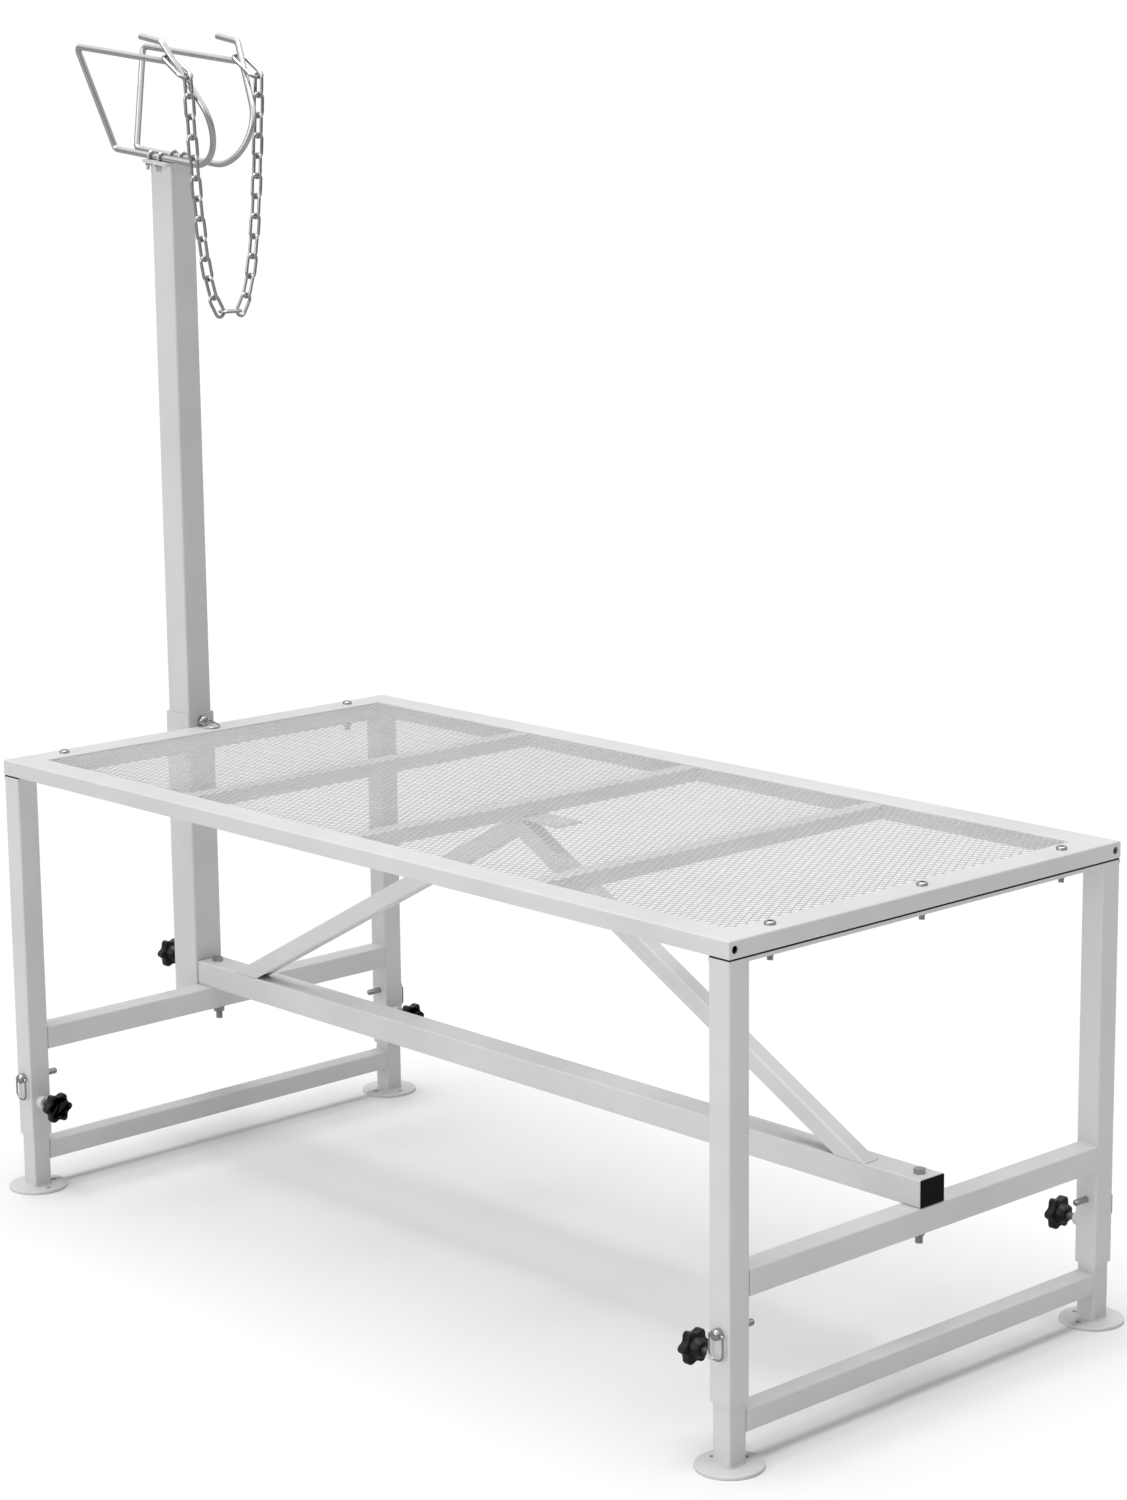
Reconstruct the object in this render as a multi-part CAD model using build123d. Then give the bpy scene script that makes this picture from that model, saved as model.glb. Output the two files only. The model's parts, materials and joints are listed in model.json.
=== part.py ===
from build123d import *
import math
import os

# A milking stand: a bolted deck frame on two telescoping leg frames, with a sliding post at
# the head end that carries a two-sided head holder and a neck chain.
# Sizes are in millimetres. X runs along the deck, the head end is at -X; Y runs across it,
# the near side is at -Y; Z is up and the floor is at Z = 0.
# Everything is built about the middle of the deck and moved at the end, so that the origin
# lies on the floor under the middle of the whole stand.

# Deck
DECK_LENGTH = 1295.0
DECK_WIDTH = 630.0
DECK_TOP = 570.0
DECK_RAIL_WIDE = 40.0
DECK_RAIL_TALL = 20.0
DECK_WALL = 2.0
DECK_CORNER = 2.0
MESH_RECESS = 1.5
MESH_THICK = 1.2
MESH_GAP = 0.3
MESH_OPENING_LONG = 34.0
MESH_OPENING_SHORT = 24.0
MESH_BRIDGE = 16.0
CROSS_BAR_WIDE = 25.0
CROSS_BAR_SPACING = 312.0
CROSS_BAR_CORNER = 1.5
VENT_RADIUS = 4.5
VENT_FROM_CORNER = 8.5

# Leg frames
LEG_TUBE = 30.0
LEG_WALL = 2.0
LEG_CORNER = 2.5
LEG_LOW_END = 72.0
TOP_PLATE_THICK = 4.0
STRIP_THICK = 1.5
STRIP_INSET = 0.7
MID_RAIL_TUBE = 30.0
MID_RAIL_LOW = 186.0

# Lower leg frames that slide inside the legs
SLIDE_GAP = 0.3
INNER_WALL = 2.0
INNER_TOP = 520.0
FOOT_RADIUS = 37.5
FOOT_THICK = 3.5
FOOT_CHAMFER = 0.6
FOOT_HOLE_RADIUS = 3.5
FOOT_HOLE_OFFSET = 24.0
LOW_RAIL_TUBE = 25.0
LOW_RAIL_BOTTOM = 37.0
LEG_PIN_HEIGHT = 150.0
LEG_STEP = 50.0
LEG_STEPS = 6

# Beam and braces
BEAM_WIDE = 39.0
BEAM_TALL = 32.0
BEAM_WALL = 2.0
PLUG_DEPTH = 15.0
PLUG_FIT = 0.1
PLUG_FLANGE = 1.2
PLUG_FLANGE_INSET = 0.7
BRACE_TUBE = 22.0
BRACE_WALL = 1.8
BRACE_ANGLE = 28.3
BRACE_TOP_FLAT = 10.0
BRACE_NOTCH_LONG = 16.0
BRACE_NOTCH_TALL = 8.5
BRACE_PLATE_LONG = 150.0
BRACE_PLATE_THICK = 3.0

# Bolts
DECK_BOLT_RADIUS = 3.0
DECK_BOLT_FROM_END = 20.0
DECK_BOLT_FROM_SIDE = 80.0
DECK_BOLT_SPARE = 7.0
DECK_HEAD_RADIUS = 6.45
DECK_HEAD_TALL = 4.0
DECK_HEAD_ROUND = 2.4
DECK_SOCKET_RADIUS = 2.3
DECK_SOCKET_FLOOR = 1.6
BEAM_BOLT_RADIUS = 4.0
BEAM_BOLT_FROM_END = 19.0
BEAM_BOLT_SPARE = 11.0
BEAM_HEAD_TALL = 5.5
NUT_TO_BOLT = 1.8
NUT_TALL_TO_BOLT = 1.6
WASHER_TO_BOLT = 2.1
WASHER_THICK = 1.5

# Post and its sleeve
POST_LONG_SIDE = 44.4
POST_SHORT_SIDE = 38.0
POST_WALL = 2.0
POST_CORNER = 3.0
POST_LOW_END = 196.0
POST_TOP = 1315.0
SLEEVE_WALL = 2.5
SLEEVE_LOW = 186.0
SLEEVE_ABOVE_DECK = 17.0
POST_PIN_ABOVE_DECK = 7.2
POST_STEP = 40.0
POST_STEPS = 6
POST_KNOB_HEIGHT = 240.0

# Hitch pins and their pull rings
PIN_RADIUS = 4.0
PIN_FIT = 0.1
PIN_LOOSE = 0.3
PIN_TIP = 20.0
PIN_HEAD_RADIUS = 6.5
PIN_HEAD_THICK = 9.0
PIN_HEAD_ROUND = 4.0
PIN_TIP_ROUND = 2.4
PIN_HEAD_SEAT = 0.3
RING_WIRE = 1.2
RING_WIDE = 22.0
RING_LONG = 30.0
RING_BEND = 8.0
RING_EYE_BEND = 1.8
RING_FIT = 0.25
RING_REST = 0.2

# Clamp screws with star knobs
STUD_RADIUS = 4.0
STUD_FIT = 0.1
CLAMP_GAP = 0.1
LEG_KNOB_HEIGHT = 118.0
BOSS_RADIUS = 8.0
BOSS_LONG = 10.0
KNOB_STANDOFF = 12.0
KNOB_THICK = 20.0
KNOB_CORE = 15.4
KNOB_LOBES = 6
KNOB_LOBE_RADIUS = 4.4
KNOB_LOBE_OFFSET = 15.8
KNOB_HUB_RADIUS = 8.0
KNOB_HUB_WIDE_RADIUS = 12.5
KNOB_HUB_LONG = 9.5
KNOB_GRIP = 13.0
KNOB_CHAMFER = 1.5

# Head holder: two bent rods on a tilted plate
HEAD_TILT = 6.0
HEAD_LEAN = 15.8
HEAD_ROD = 4.0
HEAD_ROD_OFFSET = 17.0
HEAD_PLATE_LONG = 50.0
HEAD_PLATE_WIDE = 58.0
HEAD_PLATE_THICK = 4.0
HEAD_FRONT_LOW = 101.0
HEAD_FRONT_TOP = 143.0
HEAD_TOP = 134.0
HEAD_REAR = 124.0
HEAD_REAR_BEND = 52.0
HEAD_REAR_SLOPE = 129.0
HEAD_CORNER = 7.0
HORN_RISE = 25.0
HORN_LONG = 44.0
HORN_BEND = 9.0
HOOK_WIRE = 2.0
HOOK_FORWARD = 20.0
HOOK_REARWARD = 1.0
HOOK_BELOW = 9.0
HOOK_NUT_TALL = 3.2
HOOK_NUT_TO_WIRE = 1.9

# Neck chain
CHAIN_WIRE = 2.1
CHAIN_INNER_LONG = 26.0
CHAIN_INNER_WIDE = 9.0
CHAIN_LINKS = 25
CHAIN_SLACK = 0.4
END_LINK_WIRE = 2.5
END_LINK_LONG = 46.0
END_LINK_WIDE = 15.0
END_LINK_DROP = 32.0
END_LINK_TOE_OUT = 1.0
END_LINK_GAP = 0.5
END_LINK_SLACK = 0.8

# Cutters reach this far past what they cut
CUT_SPARE = 5.0

# Worked out from the above
HALF_X = DECK_LENGTH / 2
HALF_Y = DECK_WIDTH / 2
DECK_UNDER = DECK_TOP - DECK_RAIL_TALL
MESH_TOP = DECK_TOP - MESH_RECESS
MESH_UNDER = MESH_TOP - MESH_THICK
STRIP_LOW = DECK_UNDER - STRIP_THICK
LEG_TOP = STRIP_LOW - TOP_PLATE_THICK
LEG_X = HALF_X - LEG_TUBE / 2
LEG_Y = HALF_Y - LEG_TUBE / 2
LEG_INNER_FACE = HALF_X - LEG_TUBE
INNER_TUBE = LEG_TUBE - 2 * LEG_WALL - 2 * SLIDE_GAP
MID_RAIL_TOP = MID_RAIL_LOW + MID_RAIL_TUBE
BEAM_TOP = MID_RAIL_TOP + BEAM_TALL
SLEEVE_LONG_SIDE = POST_LONG_SIDE + 2 * (SLIDE_GAP + SLEEVE_WALL)
SLEEVE_SHORT_SIDE = POST_SHORT_SIDE + 2 * (SLIDE_GAP + SLEEVE_WALL)
SLEEVE_TOP = DECK_TOP + SLEEVE_ABOVE_DECK
POST_X = -HALF_X - SLEEVE_LONG_SIDE / 2
SLEEVE_FRONT = POST_X - SLEEVE_LONG_SIDE / 2
POST_PIN_HEIGHT = DECK_TOP + POST_PIN_ABOVE_DECK
STUD_OUT = BOSS_LONG + KNOB_STANDOFF + KNOB_GRIP
ENDS = {"head": -1, "tail": 1}
SIDES = {"near": -1, "far": 1}

nodes = {}


def block(x, y, z):
    """A box from three pairs of limits."""
    size = [abs(b - a) for a, b in (x, y, z)]
    middle = [(a + b) / 2 for a, b in (x, y, z)]
    return Pos(*middle) * Box(*size)


def between(middle, width):
    return middle - width / 2, middle + width / 2


def upright_tube(x, y, wide, deep, wall, low, high, corner=LEG_CORNER):
    """A hollow rectangular tube that stands on end."""
    outer = RectangleRounded(wide, deep, corner)
    inner = RectangleRounded(wide - 2 * wall, deep - 2 * wall, max(corner - wall, 0.3))
    return Pos(x, y, low) * extrude(outer - inner, high - low)


def lying_tube(plane, wide, tall, wall, length, corner=DECK_CORNER):
    """A hollow rectangular tube, extruded both ways from a plane."""
    outer = RectangleRounded(wide, tall, corner)
    inner = RectangleRounded(wide - 2 * wall, tall - 2 * wall, max(corner - wall, 0.3))
    return extrude(plane * (outer - inner), length / 2, both=True)


def rod_along(axis, start, radius, length):
    """A round rod from a start point along one of X, Y or Z, or against it."""
    direction = {"X": (1, 0, 0), "Y": (0, 1, 0), "Z": (0, 0, 1)}[axis[-1]]
    if axis.startswith("-"):
        direction = tuple(-v for v in direction)
    return extrude(Plane(start, z_dir=direction) * Circle(radius), length)


def group(pieces):
    """Several loose solids as one node."""
    return Compound([solid for piece in pieces for solid in piece.solids()])


# Deck frame: four mitred rectangular tubes

def mitre_wedge(along_x):
    """The quarter of the deck's outline that one pair of mitred rails keeps."""
    a, b, edge = HALF_X, HALF_Y, DECK_RAIL_WIDE * 2
    if along_x:
        outline = Polyline((-a, -b), (a, -b), (a - edge, -b + edge), (-a + edge, -b + edge), close=True)
    else:
        outline = Polyline((a, -b), (a, b), (a - edge, b - edge), (a - edge, -b + edge), close=True)
    return Pos(0, 0, DECK_UNDER - CUT_SPARE) * extrude(make_face(outline), DECK_RAIL_TALL + 2 * CUT_SPARE)


def deck_rails():
    middle_z = DECK_TOP - DECK_RAIL_TALL / 2
    side_y = HALF_Y - DECK_RAIL_WIDE / 2
    end_x = HALF_X - DECK_RAIL_WIDE / 2
    side = lying_tube(Plane.YZ, DECK_RAIL_WIDE, DECK_RAIL_TALL, DECK_WALL, DECK_LENGTH)
    end = lying_tube(Plane.XZ, DECK_RAIL_WIDE, DECK_RAIL_TALL, DECK_WALL, DECK_WIDTH)
    near = Pos(0, -side_y, middle_z) * side & mitre_wedge(True)
    tail = Pos(end_x, 0, middle_z) * end & mitre_wedge(False)
    for side_sign in SIDES.values():
        vent_y = side_sign * (HALF_Y - VENT_FROM_CORNER)
        tail -= rod_along("-X", (HALF_X + 1, vent_y, middle_z), VENT_RADIUS, DECK_WALL + 2)
    nodes["deck_near_rail"] = near
    nodes["deck_far_rail"] = mirror(near, about=Plane.XZ)
    head = mirror(tail, about=Plane.YZ)
    for x, y in bolt_places():
        hole = rod_along("-Z", (x, y, DECK_TOP + 1), DECK_BOLT_RADIUS + PIN_LOOSE, DECK_RAIL_TALL + 2)
        if x > 0:
            tail -= hole
        else:
            head -= hole
    nodes["deck_tail_rail"] = tail
    nodes["deck_head_rail"] = head


def bolt_places():
    """Deck bolts: three at the tail end, two at the head end, where the sleeve takes the middle."""
    x = HALF_X - DECK_BOLT_FROM_END
    y = HALF_Y - DECK_BOLT_FROM_SIDE
    return [(x, -y), (x, 0), (x, y), (-x, -y), (-x, y)]


def deck_mesh():
    """The expanded metal panel, drawn with coarse openings of the same pattern."""
    long_side = DECK_LENGTH - 2 * DECK_RAIL_WIDE - 2 * MESH_GAP
    short_side = DECK_WIDTH - 2 * DECK_RAIL_WIDE - 2 * MESH_GAP
    face = Rectangle(long_side, short_side)
    step_x = MESH_OPENING_LONG + MESH_BRIDGE
    step_y = MESH_OPENING_SHORT + MESH_BRIDGE
    columns = int((long_side - MESH_BRIDGE) / step_x)
    rows = int((short_side - MESH_BRIDGE) / step_y)
    half_x, half_y = MESH_OPENING_LONG / 2, MESH_OPENING_SHORT / 2
    diamond = make_face(Polyline((-half_x, 0), (0, -half_y), (half_x, 0), (0, half_y), close=True))
    places = []
    for column in range(columns):
        x = (column - (columns - 1) / 2) * step_x
        for row in range(rows):
            places.append(Pos(x, (row - (rows - 1) / 2) * step_y))
    face -= [place * diamond for place in places]
    nodes["deck_mesh"] = Pos(0, 0, MESH_UNDER) * extrude(face, MESH_THICK)


def cross_bars():
    span = DECK_WIDTH - 2 * DECK_RAIL_WIDE
    tall = MESH_UNDER - DECK_UNDER
    bar = lying_tube(Plane.XZ, CROSS_BAR_WIDE, tall, DECK_WALL, span, corner=CROSS_BAR_CORNER)
    for name, step in (("head", -1), ("middle", 0), ("tail", 1)):
        place = Pos(step * CROSS_BAR_SPACING, 0, DECK_UNDER + tall / 2)
        nodes[f"{name}_cross_bar"] = place * bar


# Upper leg frames

def pin_hole(x, y, z, axis, radius, length):
    """A round cutter centred on a point."""
    shift = {"X": (length / 2, 0, 0), "Y": (0, length / 2, 0)}[axis]
    return rod_along(axis, (x - shift[0], y - shift[1], z), radius, length)


def upper_leg_frames():
    hole = PIN_RADIUS + PIN_FIT
    strips = []
    for end, sx in ENDS.items():
        for side, sy in SIDES.items():
            leg = upright_tube(sx * LEG_X, sy * LEG_Y, LEG_TUBE, LEG_TUBE, LEG_WALL, LEG_LOW_END, LEG_TOP)
            leg -= pin_hole(sx * LEG_X, sy * LEG_Y, LEG_PIN_HEIGHT, "Y", hole, LEG_TUBE + 2 * CUT_SPARE)
            stud_x = sx * LEG_INNER_FACE
            leg -= pin_hole(stud_x, sy * LEG_Y, LEG_KNOB_HEIGHT, "X", STUD_RADIUS + STUD_FIT, 4 * LEG_WALL)
            nodes[f"{end}_{side}_outer_leg"] = leg
        x = between(sx * LEG_X, LEG_TUBE)
        plate = block(x, (-HALF_Y, HALF_Y), (LEG_TOP, STRIP_LOW))
        strip = block(
            between(sx * LEG_X, LEG_TUBE - 2 * STRIP_INSET),
            (-HALF_Y + STRIP_INSET, HALF_Y - STRIP_INSET),
            (STRIP_LOW, DECK_UNDER),
        )
        for bolt_x, bolt_y in bolt_places():
            if bolt_x * sx > 0:
                cutter = pin_hole_down(bolt_x, bolt_y, DECK_UNDER + 1, DECK_BOLT_RADIUS + PIN_LOOSE, 20)
                plate -= cutter
                strip -= cutter
        nodes[f"{end}_top_plate"] = plate
        strips.append(strip)
        rail_long = DECK_WIDTH - 2 * LEG_TUBE
        rail = lying_tube(Plane.XZ, MID_RAIL_TUBE, MID_RAIL_TUBE, LEG_WALL, rail_long)
        rail = Pos(sx * LEG_X, 0, MID_RAIL_LOW + MID_RAIL_TUBE / 2) * rail
        bolt_hole = BEAM_BOLT_RADIUS + PIN_LOOSE
        rail -= pin_hole_down(sx * beam_bolt_x(), 0, MID_RAIL_TOP + 1, bolt_hole, MID_RAIL_TUBE + 2)
        nodes[f"{end}_mid_rail"] = rail
    nodes["packing_strips"] = group(strips)


def pin_hole_down(x, y, top, radius, length):
    return rod_along("-Z", (x, y, top), radius, length)


def beam_bolt_x():
    return HALF_X - BEAM_BOLT_FROM_END


# Lower leg frames

def lower_leg_frames():
    hole = PIN_RADIUS + PIN_LOOSE
    for end, sx in ENDS.items():
        feet = []
        for side, sy in SIDES.items():
            x, y = sx * LEG_X, sy * LEG_Y
            leg = upright_tube(x, y, INNER_TUBE, INNER_TUBE, INNER_WALL, FOOT_THICK, INNER_TOP)
            for step in range(LEG_STEPS + 1):
                z = LEG_PIN_HEIGHT + step * LEG_STEP
                leg -= pin_hole(x, y, z, "Y", hole, LEG_TUBE)
            nodes[f"{end}_{side}_inner_leg"] = leg
            foot = Pos(x, y, 0) * extrude(Circle(FOOT_RADIUS), FOOT_THICK)
            foot = chamfer(foot.edges().filter_by(GeomType.CIRCLE).group_by(Axis.Z)[-1], FOOT_CHAMFER)
            for hole_x, hole_y in ((-sx * FOOT_HOLE_OFFSET, 0), (0, -sy * FOOT_HOLE_OFFSET)):
                foot -= rod_along("Z", (x + hole_x, y + hole_y, -1), FOOT_HOLE_RADIUS, FOOT_THICK + 2)
            feet.append(foot)
        nodes[f"{end}_foot_plates"] = group(feet)
        rail_long = 2 * LEG_Y - INNER_TUBE
        rail = lying_tube(Plane.XZ, LOW_RAIL_TUBE, LOW_RAIL_TUBE, LEG_WALL, rail_long)
        nodes[f"{end}_low_rail"] = Pos(sx * LEG_X, 0, LOW_RAIL_BOTTOM + LOW_RAIL_TUBE / 2) * rail


# Beam and braces

def beam_and_braces():
    bolt_hole = BEAM_BOLT_RADIUS + PIN_LOOSE
    beam = lying_tube(Plane.YZ, BEAM_WIDE, BEAM_TALL, BEAM_WALL, DECK_LENGTH - 2 * PLUG_FLANGE)
    middle = MID_RAIL_TOP + BEAM_TALL / 2
    beam = Pos(0, 0, middle) * beam
    plugs = []
    for sx in ENDS.values():
        beam -= pin_hole_down(sx * beam_bolt_x(), 0, BEAM_TOP + 1, bolt_hole, BEAM_TALL + 2)
        seat = sx * (HALF_X - PLUG_FLANGE)
        wide, tall = BEAM_WIDE - 2 * PLUG_FLANGE_INSET, BEAM_TALL - 2 * PLUG_FLANGE_INSET
        flange = block((seat, sx * HALF_X), between(0, wide), between(middle, tall))
        hidden = 2 * (BEAM_WALL + PLUG_FIT)
        stem = block(
            (seat - sx * PLUG_DEPTH, seat),
            between(0, BEAM_WIDE - hidden),
            between(middle, BEAM_TALL - hidden),
        )
        stem -= pin_hole_down(sx * beam_bolt_x(), 0, BEAM_TOP, bolt_hole, BEAM_TALL)
        plugs.append(flange + stem)
    nodes["centre_beam"] = beam
    nodes["beam_end_plugs"] = group(plugs)

    slope = math.radians(BRACE_ANGLE)
    tall = (DECK_UNDER - BRACE_PLATE_THICK) - BEAM_TOP
    apex = DECK_UNDER - BRACE_PLATE_THICK
    run = BRACE_TOP_FLAT + tall / math.tan(slope)
    drop = BRACE_TUBE / math.cos(slope)
    brace_y = -BEAM_WIDE / 2 + BRACE_TUBE / 2
    middle = ((run + BRACE_TOP_FLAT) / 2, brace_y, (BEAM_TOP + apex) / 2 - drop / 2)
    plane = Plane(middle, x_dir=(0, 1, 0), z_dir=(math.cos(slope), 0, -math.sin(slope)))
    tube = lying_tube(plane, BRACE_TUBE, BRACE_TUBE, BRACE_WALL, 2 * tall / math.sin(slope))
    keep = block((0, HALF_X), (-BEAM_WIDE, BEAM_WIDE), (BEAM_TOP, apex))
    tail = tube & keep
    heel_x = run - drop / math.tan(slope)
    notch = block(
        (heel_x - BRACE_NOTCH_LONG, heel_x + CUT_SPARE),
        between(brace_y, BRACE_TUBE - 2 * BRACE_WALL),
        (BEAM_TOP, BEAM_TOP + BRACE_NOTCH_TALL),
    )
    tail -= notch
    nodes["tail_brace"] = tail
    nodes["head_brace"] = mirror(tail, about=Plane.YZ)
    nodes["brace_plate"] = block(
        between(0, BRACE_PLATE_LONG), (-BEAM_WIDE / 2, BEAM_WIDE / 2), (apex, DECK_UNDER)
    )


# Bolts with their washers and nuts

def nut(radius, x, y, top):
    """A washer and a hexagon nut that hang below a surface."""
    disc = Circle(radius * WASHER_TO_BOLT) - Circle(radius)
    washer = Pos(x, y, top - WASHER_THICK) * extrude(disc, WASHER_THICK)
    hexagon = RegularPolygon(radius * NUT_TO_BOLT, 6, major_radius=True) - Circle(radius)
    tall = radius * NUT_TALL_TO_BOLT
    body = Pos(x, y, top - WASHER_THICK - tall) * extrude(hexagon, tall)
    return [washer, body]


def frame_bolts():
    solids = []
    for x, y in bolt_places():
        end = LEG_TOP - DECK_BOLT_SPARE - DECK_BOLT_RADIUS * NUT_TALL_TO_BOLT
        shank = rod_along("-Z", (x, y, DECK_TOP), DECK_BOLT_RADIUS, DECK_TOP - end)
        head = Pos(x, y, DECK_TOP) * extrude(Circle(DECK_HEAD_RADIUS), DECK_HEAD_TALL)
        head = fillet(head.edges().group_by(Axis.Z)[-1], DECK_HEAD_ROUND)
        socket = extrude(RegularPolygon(DECK_SOCKET_RADIUS, 6), DECK_HEAD_TALL)
        solids.append((shank + head) - Pos(x, y, DECK_TOP + DECK_SOCKET_FLOOR) * socket)
        solids += nut(DECK_BOLT_RADIUS, x, y, LEG_TOP)
    for sx in ENDS.values():
        x = sx * beam_bolt_x()
        end = MID_RAIL_LOW - BEAM_BOLT_SPARE - BEAM_BOLT_RADIUS * NUT_TALL_TO_BOLT
        shank = rod_along("-Z", (x, 0, BEAM_TOP), BEAM_BOLT_RADIUS, BEAM_TOP - end)
        hexagon = RegularPolygon(BEAM_BOLT_RADIUS * NUT_TO_BOLT, 6)
        solids.append(shank + Pos(x, 0, BEAM_TOP) * extrude(hexagon, BEAM_HEAD_TALL))
        solids += nut(BEAM_BOLT_RADIUS, x, 0, MID_RAIL_LOW)
    nodes["frame_bolts"] = group(solids)


# Post and sleeve

def post_and_sleeve():
    sleeve = upright_tube(
        POST_X, 0, SLEEVE_LONG_SIDE, SLEEVE_SHORT_SIDE, SLEEVE_WALL, SLEEVE_LOW, SLEEVE_TOP, corner=POST_CORNER
    )
    sleeve -= pin_hole(POST_X, 0, POST_PIN_HEIGHT, "X", PIN_RADIUS + PIN_FIT, SLEEVE_LONG_SIDE + 2 * CUT_SPARE)
    stud_hole = STUD_RADIUS + STUD_FIT
    sleeve -= pin_hole(SLEEVE_FRONT, 0, POST_KNOB_HEIGHT, "X", stud_hole, 4 * SLEEVE_WALL)
    nodes["post_sleeve"] = sleeve

    high = POST_TOP + CUT_SPARE
    post = upright_tube(
        POST_X, 0, POST_LONG_SIDE, POST_SHORT_SIDE, POST_WALL, POST_LOW_END, high, corner=POST_CORNER
    )
    for step in range(POST_STEPS + 1):
        z = POST_PIN_HEIGHT - step * POST_STEP
        post -= pin_hole(POST_X, 0, z, "X", PIN_RADIUS + PIN_LOOSE, SLEEVE_LONG_SIDE)
    above = head_plane(0) * Pos(0, 0, POST_LONG_SIDE - HEAD_PLATE_THICK) * Box(*[2 * POST_LONG_SIDE] * 3)
    nodes["head_post"] = post - above
    plate = head_plane(0) * Pos(0, 0, -HEAD_PLATE_THICK / 2) * Box(
        HEAD_PLATE_LONG, HEAD_PLATE_WIDE, HEAD_PLATE_THICK
    )
    for u, y in hook_places():
        plate -= head_plane(0) * Pos(u, y) * Cylinder(HOOK_WIRE + PIN_FIT, 4 * HEAD_PLATE_THICK)
    nodes["post_top_plate"] = plate


def head_plane(height):
    """The tilted plane of the head plate's top: u runs rearwards and down, w up."""
    tilt = math.radians(HEAD_TILT)
    up = (math.sin(tilt), 0, math.cos(tilt))
    middle = (POST_X + up[0] * height, 0, POST_TOP + up[2] * height)
    return Plane(middle, x_dir=(math.cos(tilt), 0, -math.sin(tilt)), z_dir=up)


# Head holder

def loop_plane():
    """The near loop's own plane, leaning outwards from its bottom rod: x is u, y is up the lean."""
    lean = math.radians(HEAD_LEAN)
    base = head_plane(HEAD_ROD)
    up = base.z_dir
    across = Vector(0, -1, 0)
    rise = up * math.cos(lean) + across * math.sin(lean)
    middle = base.origin + across * HEAD_ROD_OFFSET
    return Plane(middle, x_dir=base.x_dir, z_dir=base.x_dir.cross(rise))


def rear_line_point(v):
    """Where the sloping rear rod's centre line is at height v in the loop's plane."""
    turn = math.radians(HEAD_REAR_SLOPE)
    tangent = HEAD_REAR_BEND * math.tan(turn / 2)
    corner_u = HEAD_REAR - HEAD_REAR_BEND + tangent
    return corner_u + v / math.tan(turn)


def loop_rod():
    """One side loop: a rod bent from its horn round to its front top, and the top rod welded on."""
    plane = loop_plane()
    turn = math.radians(HEAD_REAR_SLOPE)
    horn_v = HEAD_TOP + HORN_RISE
    corner_u = rear_line_point(0)
    horn_u = rear_line_point(horn_v)
    points = [
        (horn_u - HORN_LONG, horn_v + 3),
        (horn_u, horn_v),
        (corner_u, 0),
        (-HEAD_FRONT_LOW, 0),
        (-HEAD_FRONT_TOP, HEAD_TOP),
        (rear_line_point(HEAD_TOP), HEAD_TOP),
    ]
    bends = [HORN_BEND, HEAD_REAR_BEND, HEAD_CORNER, HEAD_CORNER]
    path = FilletPolyline(*points, radius=bends)
    path = plane * path
    start = path @ 0
    along = path % 0
    return sweep(Plane(start, z_dir=along) * Circle(HEAD_ROD), path=path)


def hook_places():
    y = HEAD_ROD_OFFSET + HEAD_ROD + HOOK_WIRE + PIN_FIT
    return [(u, side * y) for u in (-HOOK_FORWARD, HOOK_REARWARD) for side in (-1, 1)]


def head_holder():
    near = loop_rod()
    nodes["near_head_loop"] = near
    nodes["far_head_loop"] = mirror(near, about=Plane.XZ)
    solids = []
    for u, y in hook_places():
        side = math.copysign(1, y)
        reach = HEAD_ROD + HOOK_WIRE + PIN_FIT
        low = -HEAD_PLATE_THICK - HOOK_BELOW
        wire = Line((y, low), (y, HEAD_ROD))
        over = ThreePointArc(
            (y, HEAD_ROD), (y - side * reach, HEAD_ROD + reach), (y - 2 * side * reach, HEAD_ROD)
        )
        path = head_plane(0).location * Pos(u, 0, 0) * Plane.YZ.location * (wire + over)
        solids.append(sweep(Plane(path @ 0, z_dir=path % 0) * Circle(HOOK_WIRE), path=path))
        ring = RegularPolygon(HOOK_WIRE * HOOK_NUT_TO_WIRE, 6) - Circle(HOOK_WIRE)
        nut_low = -HEAD_PLATE_THICK - HOOK_NUT_TALL
        solids.append(head_plane(0) * Pos(u, y, nut_low) * extrude(ring, HOOK_NUT_TALL))
    nodes["head_hook_bolts"] = group(solids)


# Neck chain

def link(inner_long, inner_wide, wire, plane):
    """A straight chain link, long along the plane's x and wide along its y."""
    radius = inner_wide / 2 + wire
    half = inner_long / 2 + wire - radius
    path = (
        Line((-half, -radius), (half, -radius))
        + ThreePointArc((half, -radius), (half + radius, 0), (half, radius))
        + Line((half, radius), (-half, radius))
        + ThreePointArc((-half, radius), (-half - radius, 0), (-half, -radius))
    )
    profile = Plane((0, -radius, 0), z_dir=(1, 0, 0)) * Circle(wire)
    return plane * sweep(profile, path=path)


def end_link_seat():
    """Where the near end link's wire sits: on the top rod, in front of the sloping rear rod."""
    reach = HEAD_ROD + END_LINK_WIRE + END_LINK_GAP
    v = HEAD_TOP + reach
    u = rear_line_point(v) - reach / math.sin(math.radians(HEAD_REAR_SLOPE))
    return loop_plane().from_local_coords((u, v, 0))


def end_link_plane(reach):
    """The near end link's plane, a way down its middle line from its seat."""
    drop, toe = math.radians(END_LINK_DROP), math.radians(END_LINK_TOE_OUT)
    along = Vector(math.cos(drop) * math.cos(toe), -math.sin(toe), -math.sin(drop) * math.cos(toe))
    return Plane(end_link_seat() + along * reach, x_dir=along, z_dir=along.cross(Vector(0, 1, 0)))


def chain_anchor():
    """The centre of the end link's wire at its rear end, where the chain's first link hangs."""
    return end_link_plane(END_LINK_LONG + 2 * END_LINK_WIRE).origin


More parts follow.
